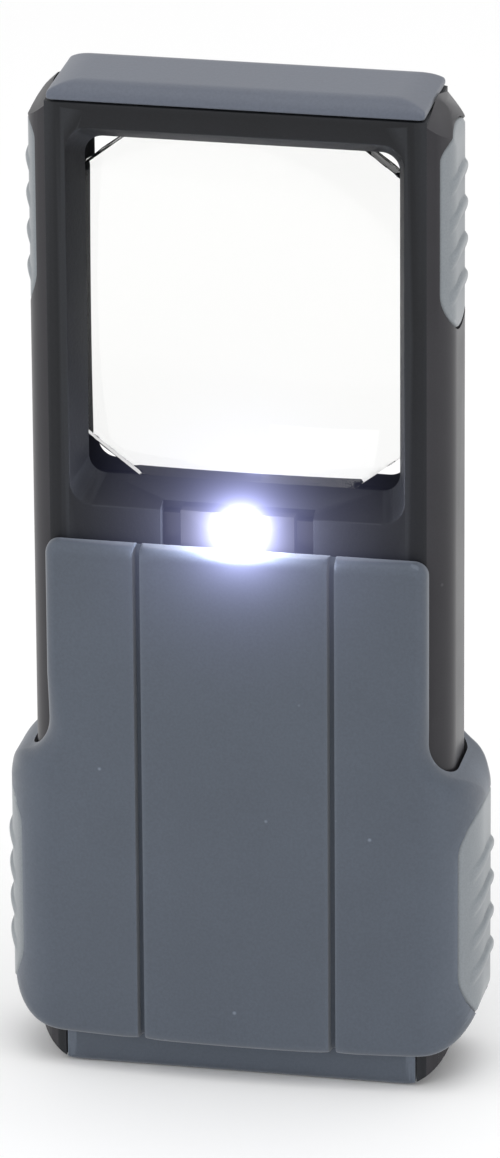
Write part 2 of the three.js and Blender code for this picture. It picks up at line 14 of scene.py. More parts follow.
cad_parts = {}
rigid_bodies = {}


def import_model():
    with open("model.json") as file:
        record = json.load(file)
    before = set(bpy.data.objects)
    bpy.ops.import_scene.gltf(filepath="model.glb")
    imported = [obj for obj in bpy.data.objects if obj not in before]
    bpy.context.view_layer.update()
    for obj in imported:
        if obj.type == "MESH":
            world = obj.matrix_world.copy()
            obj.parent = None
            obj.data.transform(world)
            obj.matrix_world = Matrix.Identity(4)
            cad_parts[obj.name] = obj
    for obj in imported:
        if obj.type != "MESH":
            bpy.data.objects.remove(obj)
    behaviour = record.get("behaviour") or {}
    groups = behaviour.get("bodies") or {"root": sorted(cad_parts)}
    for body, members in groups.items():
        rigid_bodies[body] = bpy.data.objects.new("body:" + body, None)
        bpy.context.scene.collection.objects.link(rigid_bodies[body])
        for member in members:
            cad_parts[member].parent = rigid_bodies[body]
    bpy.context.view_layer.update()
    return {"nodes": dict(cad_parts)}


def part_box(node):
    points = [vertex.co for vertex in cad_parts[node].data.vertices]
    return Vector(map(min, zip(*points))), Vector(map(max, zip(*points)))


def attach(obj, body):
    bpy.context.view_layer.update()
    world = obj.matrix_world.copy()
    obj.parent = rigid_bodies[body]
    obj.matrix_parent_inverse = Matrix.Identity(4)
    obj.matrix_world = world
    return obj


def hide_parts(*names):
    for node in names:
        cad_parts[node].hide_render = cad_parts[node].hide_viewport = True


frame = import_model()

# A slide-open pocket magnifier with a light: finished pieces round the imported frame.
#
# Each sub-assembly is a class that builds its own pieces and dresses them. Sizes are in millimetres in
# the classes and turned into metres where a mesh is made. +Z is up, and the front faces -Y.

LOG = logging.getLogger("magnifier")
MM = 0.001
SHARP = 28.0  # degrees between two faces from which their edge counts as sharp
SPECKLE = 0.06  # how strongly the grain shows in the colour
ACRYLIC_IOR = 1.49
Colour = tuple[float, float, float]
Point = tuple[float, float, float]
Flat = tuple[float, float]
EdgeTest = Callable[[bmesh.types.BMEdge], bool]


def linear(red: int, green: int, blue: int) -> Colour:
    """Turns a screen colour into a linear one.

    Args:
        red: Red, from 0 to 255.
        green: Green, from 0 to 255.
        blue: Blue, from 0 to 255.

    Returns:
        The same colour as three linear shares.
    """
    shares = (value / 255 for value in (red, green, blue))
    return tuple(s / 12.92 if s <= 0.04045 else ((s + 0.055) / 1.055) ** 2.4 for s in shares)


# ---- the bench: modelling steps -----------------------------------------------------------


class Pick(Enum):
    """What kind of element a selection takes."""

    VERTS = "VERT"
    EDGES = "EDGE"
    FACES = "FACE"


class Bench:
    """Modelling steps that every sub-assembly uses.

    Attributes:
        HOLE_CUTS: Where seams cross the holes of the moulded parts, in millimetres along X and Z.
    """

    HOLE_CUTS = {0: (-14.5, -7.0, 0.0, 7.0, 14.5), 2: (14.0, 50.0, 78.0)}

    @staticmethod
    def only(obj: bpy.types.Object) -> None:
        """Makes one object the selected and active one.

        Args:
            obj: The object to work on.
        """
        for other in bpy.context.view_layer.objects:
            other.select_set(False)
        obj.select_set(True)
        bpy.context.view_layer.objects.active = obj

    @staticmethod
    @contextmanager
    def editing(obj: bpy.types.Object) -> Iterator[None]:
        """Opens a piece in edit mode with nothing selected, and closes it afterwards.

        Args:
            obj: The mesh object to edit.

        Returns:
            Control to the guarded block, while the piece is in edit mode.
        """
        Bench.only(obj)
        bpy.ops.object.mode_set(mode="EDIT")
        bpy.ops.mesh.select_all(action="DESELECT")
        yield
        bpy.ops.object.mode_set(mode="OBJECT")

    @staticmethod
    def pick(kind: Pick, test: Callable[[object], bool]) -> int:
        """Selects elements of the piece in edit mode by a test of their place or normal.

        Args:
            kind: Vertices, edges or faces.
            test: Says whether an element is selected.

        Returns:
            How many elements are selected.
        """
        bpy.ops.mesh.select_mode(type=kind.value)
        bpy.ops.mesh.select_all(action="DESELECT")
        data = bpy.context.active_object.data
        mesh = bmesh.from_edit_mesh(data)
        items = {Pick.VERTS: mesh.verts, Pick.EDGES: mesh.edges, Pick.FACES: mesh.faces}[kind]
        chosen = [item for item in items if test(item)]
        for item in chosen:
            item.select_set(True)
        mesh.select_flush_mode()
        bmesh.update_edit_mesh(data)
        return len(chosen)

    @staticmethod
    def apply(obj: bpy.types.Object, kind: str, **settings: object) -> None:
        """Adds a modifier with its settings and applies it.

        Args:
            obj: The piece that the modifier changes.
            kind: The modifier's type.
            **settings: The modifier's own properties.
        """
        Bench.only(obj)
        modifier = obj.modifiers.new(kind.lower(), kind)
        for name, value in settings.items():
            setattr(modifier, name, value)
        bpy.ops.object.modifier_apply(modifier=modifier.name)

    @staticmethod
    def carve(obj: bpy.types.Object, tool: bpy.types.Object, how: str = "DIFFERENCE") -> None:
        """Cuts, joins or intersects a piece with a tool, and throws the tool away.

        Args:
            obj: The piece that is kept.
            tool: The shape that works on it.
            how: DIFFERENCE, UNION or INTERSECT.
        """
        Bench.apply(obj, "BOOLEAN", operation=how, object=tool, solver="EXACT")
        bpy.data.objects.remove(tool)

    @staticmethod
    def block(name: str, low: Point, high: Point) -> bpy.types.Object:
        """Adds a cube primitive that fills a box.

        Args:
            name: The new object's name.
            low: Lowest corner in millimetres.
            high: Highest corner in millimetres.

        Returns:
            The block, with its place in its mesh.
        """
        middle = [(a + b) / 2 * MM for a, b in zip(low, high)]
        size = [(b - a) * MM for a, b in zip(low, high)]
        bpy.ops.mesh.primitive_cube_add(size=1, location=middle, scale=size)
        obj = bpy.context.active_object
        obj.name = name
        Bench.settle(obj)
        return obj

    @staticmethod
    def settle(obj: bpy.types.Object) -> None:
        """Puts an object at the origin, with its place, turn and size in its mesh."""
        Bench.only(obj)
        bpy.ops.object.transform_apply(location=True, rotation=True, scale=True)

    @staticmethod
    def merged_copy(node: str, name: str) -> bpy.types.Object:
        """Copies a CAD node's mesh, and joins its loose triangles into whole faces.

        Args:
            node: The CAD node.
            name: The new piece's name.

        Returns:
            The copy, which may be shaped freely.
        """
        mesh = frame["nodes"][node].data.copy()
        mesh.materials.clear()
        obj = bpy.data.objects.new(name, mesh)
        bpy.context.scene.collection.objects.link(obj)
        with Bench.editing(obj):
            bpy.ops.mesh.customdata_custom_splitnormals_clear()
            bpy.ops.mesh.select_all(action="SELECT")
            bpy.ops.mesh.remove_doubles(threshold=0.002 * MM)
            for axis, stations in Bench.HOLE_CUTS.items():
                for station in stations:
                    Bench.seam(axis, station * MM)
            bpy.ops.mesh.select_all(action="SELECT")
            bpy.ops.mesh.dissolve_limited(angle_limit=math.radians(0.4), delimit={"SEAM"})
        return obj

    @staticmethod
    def seam(axis: int, station: float) -> None:
        """Cuts the piece in edit mode across an axis, and marks the cut as a seam.

        A face can't have a hole in it, so each hole is crossed by a seam before faces are joined.

        Args:
            axis: 0 for X or 2 for Z.
            station: Where along the axis, in metres.
        """
        place = [0.0, 0.0, 0.0]
        place[axis] = station
        normal = [0.0, 0.0, 0.0]
        normal[axis] = 1.0
        bpy.ops.mesh.select_all(action="SELECT")
        bpy.ops.mesh.bisect(plane_co=place, plane_no=normal)
        Bench.pick(Pick.EDGES, lambda edge: all(abs(v.co[axis] - station) < 1e-7 for v in edge.verts))
        bpy.ops.mesh.mark_seam()

    @staticmethod
    def soften(obj: bpy.types.Object, width: float, steps: int, test: EdgeTest) -> None:
        """Rounds the sharp edges of a piece that pass a test.

        Args:
            obj: The piece.
            width: Width of the rounding in millimetres.
            steps: Straight pieces across the rounding.
            test: Says whether an edge is rounded.
        """
        sharp = math.radians(SHARP)

        def wanted(edge: bmesh.types.BMEdge) -> bool:
            """Says whether an edge is sharp and passes the test."""
            return edge.is_manifold and edge.calc_face_angle(0) > sharp and test(edge)

        with Bench.editing(obj):
            if Bench.pick(Pick.EDGES, wanted):
                bevel = {"offset": width * MM, "segments": steps, "profile": 0.5}
                bpy.ops.mesh.bevel(affect="EDGES", clamp_overlap=True, **bevel)

    @staticmethod
    def smooth(obj: bpy.types.Object, degrees: float = 40) -> None:
        """Shades a piece smooth, apart from edges sharper than an angle.

        Args:
            obj: The piece.
            degrees: The largest angle that is shaded smooth.
        """
        Bench.only(obj)
        bpy.ops.object.shade_smooth_by_angle(angle=math.radians(degrees))


# ---- finishes -----------------------------------------------------------------------------


class Tree:
    """A short way to place and join nodes in one node tree."""

    def __init__(self, tree: bpy.types.NodeTree) -> None:
        """Takes hold of a node tree."""
        self.tree = tree

    def add(self, kind: str, inputs: dict | None = None, **settings: object) -> bpy.types.Node:
        """Adds a node, sets its properties, and fills or joins its inputs.

        Args:
            kind: The node's type name without its ShaderNode prefix.
            inputs: Values or sockets by input name or number.
            **settings: The node's own properties.

        Returns:
            The new node.
        """
        node = self.tree.nodes.new("ShaderNode" + kind)
        for name, value in settings.items():
            setattr(node, name, value)
        self.feed(node, inputs or {})
        return node

    def feed(self, node: bpy.types.Node, inputs: dict) -> None:
        """Fills or joins a node's inputs.

        Args:
            node: The node.
            inputs: Values or sockets by name or number.
        """
        for key, value in inputs.items():
            if isinstance(value, bpy.types.NodeSocket):
                self.tree.links.new(value, node.inputs[key])
            else:
                node.inputs[key].default_value = value

    def mix(self, share: object, first: object, second: object, **settings: object) -> bpy.types.NodeSocket:
        """Mixes two colours by a share, and gives the mixed colour."""
        inputs = {"Factor": share, "A": first, "B": second}
        return self.add("Mix", inputs, data_type="RGBA", **settings).outputs["Result"]

    def multiply(self, first: object, second: object) -> bpy.types.NodeSocket:
        """Multiplies two values."""
        return self.add("Math", {0: first, 1: second}, operation="MULTIPLY").outputs[0]

    def coat(self, inputs: dict) -> None:
        """Ends a material with the plain surface shader and its inputs."""
        shader = self.add("BsdfPrincipled", inputs)
        self.join(shader.outputs["BSDF"], self.add("OutputMaterial").inputs["Surface"])

    def ramp(self, source: bpy.types.NodeSocket, low: float, high: float) -> bpy.types.NodeSocket:
        """Stretches a value between two levels to a share from 0 to 1."""
        values = {"Value": source, "From Min": low, "From Max": high}
        return self.add("MapRange", values, clamp=True).outputs["Result"]

    def join(self, out: bpy.types.NodeSocket, into: bpy.types.NodeSocket) -> None:
        """Joins two sockets."""
        self.tree.links.new(out, into)


class Effect:
    """A shader node group that is built once and used in many materials."""

    name: str = ""
    takes: dict[str, tuple[str, float]] = {}
    gives: dict[str, str] = {}
    made: dict[str, bpy.types.NodeTree] = {}

    def group(self) -> bpy.types.NodeTree:
        """Builds the node group at its first use.

        Returns:
            The node group.
        """
        if self.name not in Effect.made:
            tree = bpy.data.node_groups.new(self.name, "ShaderNodeTree")
            tree.interface.new_socket("Vector", in_out="INPUT", socket_type="NodeSocketVector")
            for name, (kind, value) in self.takes.items():
                socket = tree.interface.new_socket(name, in_out="INPUT", socket_type="NodeSocket" + kind)
                if kind == "Float":
                    socket.default_value = value
            for name, kind in self.gives.items():
                tree.interface.new_socket(name, in_out="OUTPUT", socket_type="NodeSocket" + kind)
            source = tree.nodes.new("NodeGroupInput")
            target = tree.nodes.new("NodeGroupOutput")
            self.build(Tree(tree), source.outputs, target.inputs)
            Effect.made[self.name] = tree
        return Effect.made[self.name]

    def build(self, tree: Tree, source: object, target: object) -> None:
        """Fills the group with its nodes."""
        raise NotImplementedError

    def place(self, tree: Tree, inputs: dict) -> bpy.types.Node:
        """Places the group in a material.

        Args:
            tree: The material's tree.
            inputs: Values or sockets by name.

        Returns:
            The group node.
        """
        node = tree.tree.nodes.new("ShaderNodeGroup")
        node.node_tree = self.group()
        tree.feed(node, inputs)
        return node


class MouldGrain(Effect):
    """The fine pebbled grain that a spark-eroded mould leaves on plastic."""

    name = "mould_grain"
    takes = {"Scale": ("Float", 4000.0), "Pits": ("Float", 0.5)}
    gives = {"Height": "Float", "Speckle": "Float"}

    def build(self, tree: Tree, source: object, target: object) -> None:
        """Mixes a fine noise with small round pits.

        Args:
            tree: The group's tree.
            source: The group's inputs by name.
            target: The group's outputs by name.
        """
        place = {"Vector": source["Vector"]}
        fine = tree.add("TexNoise", {**place, "Scale": source["Scale"], "Detail": 3.0, "Roughness": 0.6})
        coarser = tree.multiply(source["Scale"], 0.55)
        cells = tree.add("TexVoronoi", {**place, "Scale": coarser}, feature="SMOOTH_F1")
        heights = {"A": fine.outputs[0], "B": cells.outputs["Distance"]}
        both = tree.add("Mix", {"Factor": source["Pits"], **heights}, data_type="FLOAT")
        tree.join(both.outputs["Result"], target["Height"])
        tree.join(tree.ramp(fine.outputs[0], 0.35, 0.65), target["Speckle"])


class ToneAndHighlight(Effect):
    """Slow random changes of tone that moulding and use leave, and a painted highlight that lightens convex
    edges.
    """

    name = "tone_and_edge_highlight"
    takes = {"Base": ("Color", 0), "Tone and Highlight": ("Color", 0), "Edge": ("Float", 0.5), "Cloud": ("Float", 0.1)}
    gives = {"Color": "Color", "Polish": "Float"}

    def build(self, tree: Tree, source: object, target: object) -> None:
        """Lightens convex edges as a painted highlight, and clouds the rest with a broad random noise.

        Args:
            tree: The group's tree.
            source: The group's inputs by name.
            target: The group's outputs by name.
        """
        broad = {"Scale": 90.0, "Detail": 4.0, "Roughness": 0.55}
        cloud = tree.add("TexNoise", {"Vector": source["Vector"], **broad})
        shade = tree.ramp(cloud.outputs[0], 0.3, 0.7)
        # Painted highlight: convex edges, found by their pointiness, blend towards the lighter colour.
        point = tree.add("NewGeometry").outputs["Pointiness"]
        edge = tree.multiply(tree.ramp(point, 0.505, 0.58), source["Edge"])
        drift = tree.multiply(shade, source["Cloud"])
        total = tree.add("Math", {0: edge, 1: drift}, operation="ADD", use_clamp=True)
        tree.join(tree.mix(total.outputs[0], source["Base"], source["Tone and Highlight"]), target["Color"])
        tree.join(shade, target["Polish"])


class Dust(Effect):
    """A few light specks of dust."""

    name = "dust"
    takes = {"Scale": ("Float", 300.0), "Amount": ("Float", 0.5)}
    gives = {"Mask": "Float"}

    def build(self, tree: Tree, source: object, target: object) -> None:
        """Keeps a few small dots of a field of cells.

        Args:
            tree: The group's tree.
            source: The group's inputs by name.
            target: The group's outputs by name.
        """
        settings = {"Vector": source["Vector"], "Scale": source["Scale"], "Randomness": 1.0}
        cells = tree.add("TexVoronoi", settings)
        dots = tree.ramp(cells.outputs["Distance"], 0.07, 0.03)
        some = tree.add("SeparateColor", {"Color": cells.outputs["Color"]})
        few = tree.ramp(some.outputs[0], 0.86, 0.9)
        tree.join(tree.multiply(tree.multiply(dots, few), source["Amount"]), target["Mask"])


class BrushLines(Effect):
    """Thin turned or brushed lines on metal."""

    name = "brush_lines"
    takes = {"Fineness": ("Float", 2000.0)}
    gives = {"Height": "Float"}

    def build(self, tree: Tree, source: object, target: object) -> None:
        """Stretches a noise along one direction.

        Args:
            tree: The group's tree.
            source: The group's inputs by name.
            target: The group's outputs by name.
        """
        stretched = tree.add("Mapping", {"Vector": source["Vector"], "Scale": (0.04, 1.0, 1.0)})
        lines = {"Vector": stretched.outputs[0], "Scale": source["Fineness"], "Detail": 3.0}
        tree.join(tree.add("TexNoise", lines).outputs[0], target["Height"])


GRAIN = MouldGrain()
TONE_AND_HIGHLIGHT = ToneAndHighlight()
DUST = Dust()
BRUSHED = BrushLines()


@dataclass(frozen=True)
class Finish:
    """A moulded plastic or rubber finish.

    Attributes:
        name: The material's name.
        slot: The record's material slot that it stands for.
        base: Linear colour of the bulk.
        tone_and_highlight: Linear colour of the painted highlights on convex edges and of the lighter random
            clouds.
        roughness: Lowest and highest roughness.
        grain: Grains per metre.
        depth: Height of the grain in millimetres.
        pits: Share of round pits in the grain.
        sheen: Weight of the soft bloom at grazing angles.
        edge: How much convex edges lighten, as a painted highlight.
        cloud: How much the tone drifts at random.
        dust: How many specks show.
        specular: Specular level.
    """

    name: str
    slot: str
    base: Colour
    tone_and_highlight: Colour
    roughness: tuple[float, float] = (0.5, 0.6)
    grain: float = 4000.0
    depth: float = 0.01
    pits: float = 0.5
    sheen: float = 0.0
    edge: float = 0.5
    cloud: float = 0.12
    dust: float = 0.0
    specular: float = 0.5

    def material(self) -> bpy.types.Material:
        """Builds the material at its first use.

        Returns:
            The material.
        """
        found = bpy.data.materials.get(self.name)
        if found:
            return found
        made = bpy.data.materials.new(self.name)
        made.use_nodes = True
        made.node_tree.nodes.clear()
        self.fill(Tree(made.node_tree))
        return made

    def fill(self, tree: Tree) -> None:
        """Places and joins the material's nodes.

        Args:
            tree: The material's tree.
        """
        place = tree.add("TexCoord").outputs["Object"]
        grain = GRAIN.place(tree, {"Vector": place, "Scale": self.grain, "Pits": self.pits})
        colours = {"Base": (*self.base, 1), "Tone and Highlight": (*self.tone_and_highlight, 1)}
        # The lighter colour goes on convex edges as a painted highlight, and on broad random clouds as tone.
        toned_and_highlit = TONE_AND_HIGHLIGHT.place(tree, {"Vector": place, **colours, "Edge": self.edge, "Cloud": self.cloud})
        dust = DUST.place(tree, {"Vector": place, "Amount": self.dust})
        light = (*(min(1.0, 2.4 * c + 0.05) for c in self.tone_and_highlight), 1)
        speckled = tree.mix(SPECKLE, toned_and_highlit.outputs["Color"], grain.outputs["Speckle"], blend_type="OVERLAY")
        low, high = self.roughness
        rough = tree.add("MapRange", {"Value": toned_and_highlit.outputs["Polish"], "To Min": low, "To Max": high})
        bump = tree.add("Bump", {"Height": grain.outputs["Height"], "Distance": self.depth * MM})
        tree.coat({
            "Base Color": tree.mix(dust.outputs["Mask"], speckled, light),
            "Roughness": rough.outputs["Result"],
            "Normal": bump.outputs["Normal"],
            "Sheen Weight": self.sheen,
            "Sheen Roughness": 0.45,
            "Specular IOR Level": self.specular,
        })


@dataclass(frozen=True)
class MetalFinish(Finish):
    """A brushed or plated metal finish."""

    def fill(self, tree: Tree) -> None:
        """Places and joins the material's nodes.

        Args:
            tree: The material's tree.
        """
        place = tree.add("TexCoord").outputs["Object"]
        lines = BRUSHED.place(tree, {"Vector": place, "Fineness": self.grain})
        colours = {"Base": (*self.base, 1), "Tone and Highlight": (*self.tone_and_highlight, 1)}
        # The lighter colour goes on convex edges as a painted highlight, and on broad random clouds as tone.
        toned_and_highlit = TONE_AND_HIGHLIGHT.place(tree, {"Vector": place, **colours, "Edge": self.edge, "Cloud": self.cloud})
        low, high = self.roughness
        rough = tree.add("MapRange", {"Value": toned_and_highlit.outputs["Polish"], "To Min": low, "To Max": high})
        bump = tree.add("Bump", {"Height": lines.outputs["Height"], "Distance": self.depth * MM})
        tree.coat({
            "Base Color": toned_and_highlit.outputs["Color"],
            "Roughness": rough.outputs["Result"],
            "Normal": bump.outputs["Normal"],
            "Metallic": 1.0,
        })


@dataclass(frozen=True)
class ClearFinish(Finish):
    """Polished clear acrylic, with a faint trace of wiping."""

    def fill(self, tree: Tree) -> None:
        """Places and joins the material's nodes.

        Args:
            tree: The material's tree.
        """
        place = tree.add("TexCoord").outputs["Object"]
        smear = tree.add("TexNoise", {"Vector": place, "Scale": 120.0, "Detail": 2.0, "Distortion": 0.6})
        low, high = self.roughness
        span = {"From Min": 0.4, "From Max": 0.8, "To Min": low, "To Max": high}
        rough = tree.add("MapRange", {"Value": smear.outputs[0], **span})
        tree.coat({
            "Base Color": (*self.base, 1),
            "Roughness": rough.outputs["Result"],
            "Transmission Weight": 1.0,
            "IOR": ACRYLIC_IOR,
        })


@dataclass(frozen=True)
class GlowFinish(Finish):
    """The lit epoxy of the lamp, its blue-white rippled by a fine noise.

    Attributes:
        strength: Emission strength.
    """

    strength: float = 30.0

    def fill(self, tree: Tree) -> None:
        """Places and joins the material's nodes.

        Args:
            tree: The material's tree.
        """
        place = tree.add("TexCoord").outputs["Object"]
        ripple = tree.add("TexNoise", {"Vector": place, "Scale": 900.0, "Detail": 2.0})
        core = tree.mix(ripple.outputs[0], (*self.base, 1), (*self.tone_and_highlight, 1))
        tree.coat({
            "Base Color": core,
            "Roughness": self.roughness[0],
            "Emission Color": core,
            "Emission Strength": self.strength,
        })


class Finishes(Enum):
    """Every finish on the magnifier."""

    PLATE = Finish(
        "grained_black_plastic", "grained_black", linear(25, 26, 29), linear(50, 52, 56),
        roughness=(0.5, 0.6), grain=4200, depth=0.035, pits=0.35, edge=0.6, cloud=0.15, dust=0.35,
        specular=0.22,
    )
    SATIN = Finish(
        "satin_black_plastic", "satin_black", linear(42, 41, 45), linear(70, 69, 73),
        roughness=(0.3, 0.38), grain=7000, depth=0.004, pits=0.2, edge=0.35, cloud=0.2, dust=0.2,
        specular=0.3,
    )
    SLEEVE = Finish(
        "soft_touch_blue", "sleeve_blue", linear(69, 77, 89), linear(99, 108, 121),
        roughness=(0.56, 0.66), grain=3800, depth=0.016, pits=0.4, sheen=0.35, edge=0.6, cloud=0.16, dust=0.3,
    )
    CAP = Finish(
        "soft_touch_pale_blue", "cap_blue", linear(80, 86, 99), linear(107, 114, 127),
        roughness=(0.5, 0.6), grain=3800, depth=0.014, pits=0.4, sheen=0.3, edge=0.5, cloud=0.2, dust=0.2,
    )
    RUBBER = Finish(
        "grey_grip_rubber", "grip_grey", linear(126, 132, 137), linear(155, 160, 164),
        roughness=(0.6, 0.7), grain=5200, depth=0.01, pits=0.4, sheen=0.4, edge=0.6, cloud=0.2, dust=0.3,
    )
    ACRYLIC = ClearFinish(
        "clear_acrylic", "lens_clear", (0.955, 0.955, 0.945), (1.0, 1.0, 1.0), roughness=(0.0, 0.03),
    )
    LAMP = GlowFinish(
        "lit_epoxy", "led_clear", (0.78, 0.8, 1.0), (0.92, 0.94, 1.0), roughness=(0.1, 0.1), strength=40,
    )
    BOARD = Finish(
        "green_board", "board_green", linear(20, 74, 44), linear(60, 120, 80),
        roughness=(0.3, 0.4), grain=2500, depth=0.01, pits=0.6, cloud=0.3,
    )
    CHIP = Finish(
        "chip_black", "chip_black", linear(24, 24, 26), linear(60, 60, 62),
        roughness=(0.4, 0.5), grain=6000, depth=0.006,
    )
    BRASS = MetalFinish(
        "spring_brass", "spring_brass", (0.62, 0.47, 0.2), (0.8, 0.66, 0.38),
        roughness=(0.22, 0.36), grain=3000, depth=0.004,
    )
    CELL = MetalFinish(
        "cell_steel", "cell_steel", (0.56, 0.57, 0.58), (0.72, 0.73, 0.74),
        roughness=(0.2, 0.32), grain=2600, depth=0.004,
    )
    SCREW = MetalFinish(
        "screw_steel", "screw_steel", (0.3, 0.31, 0.33), (0.5, 0.51, 0.53),
        roughness=(0.28, 0.4), grain=4000, depth=0.006,
    )


class Body(Enum):
    """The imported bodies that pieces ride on."""

    FRAME = "frame"
    SLEEVE = "sleeve"
    DRAWER = "battery_drawer"


def dress(obj: bpy.types.Object, finish: Finishes) -> None:
    """Gives a piece its material.

    Args:
        obj: The piece or CAD node.
        finish: Its finish.
    """
    obj.data.materials.clear()
    obj.data.materials.append(finish.value.material())


def deliver(obj: bpy.types.Object, body: Body, finish: Finishes, nodes: tuple[str, ...]) -> None:
    """Hands a finished piece over to the body that it rides on.

    Args:
        obj: The finished piece.
        body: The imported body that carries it.
        finish: Its finish.
        nodes: The CAD nodes that it stands for.
    """
    dress(obj, finish)
    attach(obj, body.value)
    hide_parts(*nodes)
    LOG.info("%s: %d faces, rides on %s", obj.name, len(obj.data.polygons), body.value)


# ---- the studio ---------------------------------------------------------------------------


@dataclass
class Studio:
    """Floor, light and camera.

    Attributes:
        room: Strength of the pale light that fills the room.
        boxes: Name, place, side and watts of each soft light, in metres.
        middle: The point that the soft lights face, in metres.
        floor_size: Side of the floor, in metres.
        floor_drop: How far the floor lies under the object, in metres.
        azimuth: Camera's turn round the object, in degrees.
        elevation: Camera's height above the horizon, in degrees.
        roll: Camera's lean, in degrees.
        distance: Camera's distance from its target, in metres.
        target: The point that the camera looks at, in metres.
        lens: Focal length in millimetres for a 36 mm long side.
    """

    room: float = 0.8
    boxes: tuple[tuple[str, Point, float, float], ...] = (
        ("top_box", (0.1, -0.15, 0.9), 0.7, 3.0),
        ("front_box", (-0.55, -1.0, 0.5), 0.6, 1.5),
    )
    middle: Point = (0.0, 0.0, 0.05)
    floor_size: float = 12.0
    floor_drop: float = 0.00002
    azimuth: float = 11.516
    elevation: float = 21.591
    roll: float = -0.407
    distance: float = 0.8928
    target: Point = (0.000052, 0.0, 0.050077)
    lens: float = 285.67

    def build(self) -> None:
        """Sets up the whole studio."""
        self.make_floor()
        self.make_light()
        self.make_camera()
        self.make_halo()
        bpy.context.scene.view_settings.view_transform = "Standard"

    def make_halo(self) -> None:
        """Lets the lit lamp bloom in the lens of the camera. Nothing else is bright enough to."""
        scene = bpy.context.scene
        scene.use_nodes = True
        nodes, links = scene.node_tree.nodes, scene.node_tree.links
        nodes.clear()
        layers = nodes.new("CompositorNodeRLayers")
        glare = nodes.new("CompositorNodeGlare")
        glare.glare_type = "BLOOM"
        glare.quality = "HIGH"
        settings = {"Threshold": 4.0, "Strength": 0.85, "Size": 0.45, "Maximum": 40.0, "Clamp": True}
        for name, value in {**settings, "Tint": (0.62, 0.64, 1.0, 1.0)}.items():
            glare.inputs[name].default_value = value
        end = nodes.new("CompositorNodeComposite")
        links.new(layers.outputs["Image"], glare.inputs["Image"])
        links.new(glare.outputs["Image"], end.inputs["Image"])

    def make_floor(self) -> None:
        """Lays a plain pale floor under the object."""
        bpy.ops.mesh.primitive_plane_add(size=self.floor_size, location=(0, 0, -self.floor_drop))
        floor = bpy.context.active_object
        floor.name = "floor"
        Bench.settle(floor)
        paper = bpy.data.materials.new("pale_floor")
        paper.use_nodes = True
        paper.node_tree.nodes.clear()
        tree = Tree(paper.node_tree)
        place = tree.add("TexCoord").outputs["Object"]
        mottle = tree.add("TexNoise", {"Vector": place, "Scale": 6.0, "Detail": 3.0})
        tone = tree.mix(mottle.outputs[0], (0.955, 0.955, 0.955, 1), (0.975, 0.975, 0.975, 1))
        tree.coat({"Base Color": tone, "Roughness": 0.8})
        floor.data.materials.append(paper)

    def make_light(self) -> None:
        """Hangs soft lights and fills the room with pale light."""
        world = bpy.data.worlds.new("room")
        bpy.context.scene.world = world
        world.use_nodes = True
        background = world.node_tree.nodes["Background"]
        background.inputs["Color"].default_value = (1.0, 1.0, 1.0, 1.0)
        background.inputs["Strength"].default_value = self.room
        for box in self.boxes:
            self.add_softbox(*box)

    def add_softbox(self, name: str, place: Point, size: float, watts: float) -> None:
        """Hangs one square light that faces the middle of the object.

        Args:
            name: The light's name.
            place: Where it hangs, in metres.
            size: Side of the square, in metres.
            watts: Its power.
        """
        light = bpy.data.lights.new(name, "AREA")
        light.size = size
        light.energy = watts
        obj = bpy.data.objects.new(name, light)
        bpy.context.scene.collection.objects.link(obj)
        obj.location = place
        aim = Vector(self.middle) - Vector(place)
        obj.rotation_mode = "QUATERNION"
        obj.rotation_quaternion = aim.to_track_quat("-Z", "Y")

    def make_camera(self) -> None:
        """Places the camera."""
        turn, rise, lean = (math.radians(a) for a in (self.azimuth, self.elevation, self.roll))
        back = Vector((math.sin(turn) * math.cos(rise), -math.cos(turn) * math.cos(rise), math.sin(rise)))
        right = Vector((math.cos(turn), math.sin(turn), 0))
        up = back.cross(right)
        leaning_right = math.cos(lean) * right + math.sin(lean) * up
        leaning_up = math.cos(lean) * up - math.sin(lean) * right
        data = bpy.data.cameras.new("camera")
        data.sensor_width = 36.0
        data.lens = self.lens
        data.clip_start = 0.01
        data.clip_end = 50.0
        camera = bpy.data.objects.new("camera", data)
        bpy.context.scene.collection.objects.link(camera)
        axes = Matrix((leaning_right, leaning_up, back)).transposed().to_4x4()
        camera.matrix_world = Matrix.Translation(Vector(self.target) + back * self.distance) @ axes
        bpy.context.scene.camera = camera


# ---- moulded skins ------------------------------------------------------------------------


def rolled(distance: float, radius: float) -> float:
    """How far a face has dropped at a distance from a rounded edge.

    Args:
        distance: Distance from the edge.
        radius: Radius of the rounding.

    Returns:
        The drop, which is the radius at the edge and nothing beyond it.
    """
    if distance >= radius or radius <= 0:
        return 0.0
    return radius - math.sqrt(max(0.0, radius**2 - (radius - max(distance, 0.0)) ** 2))


def spread(low: float, high: float, count: int) -> list[float]:
    """Evenly spaced stations from low to high, both included."""
    return [low + (high - low) * i / (count - 1) for i in range(count)]


def arc(middle: Flat, radius: float, start: float, end: float, count: int = 24) -> list[Flat]:
    """Points along an arc.

    Args:
        middle: Centre of the arc.
        radius: Its radius.
        start: Its first angle in degrees.
        end: Its last angle in degrees.
        count: How many points.

    Returns:
        The points in order.
    """
    angles = [math.radians(a) for a in spread(start, end, count)]
    return [(middle[0] + radius * math.cos(a), middle[1] + radius * math.sin(a)) for a in angles]


def gap_to(path: list[Flat], x: float, z: float) -> float:
    """Distance from a point to the nearest piece of a path.

    Args:
        path: Points of the path in order.
        x: The point's first coordinate.
        z: Its second.

    Returns:
        The distance.
    """
    best = math.inf
    for (ax, az), (bx, bz) in zip(path, path[1:]):
        run_x, run_z = bx - ax, bz - az
        length = run_x * run_x + run_z * run_z
        share = 0.0 if length == 0 else max(0.0, min(1.0, ((x - ax) * run_x + (z - az) * run_z) / length))
        best = min(best, math.hypot(x - ax - share * run_x, z - az - share * run_z))
    return best


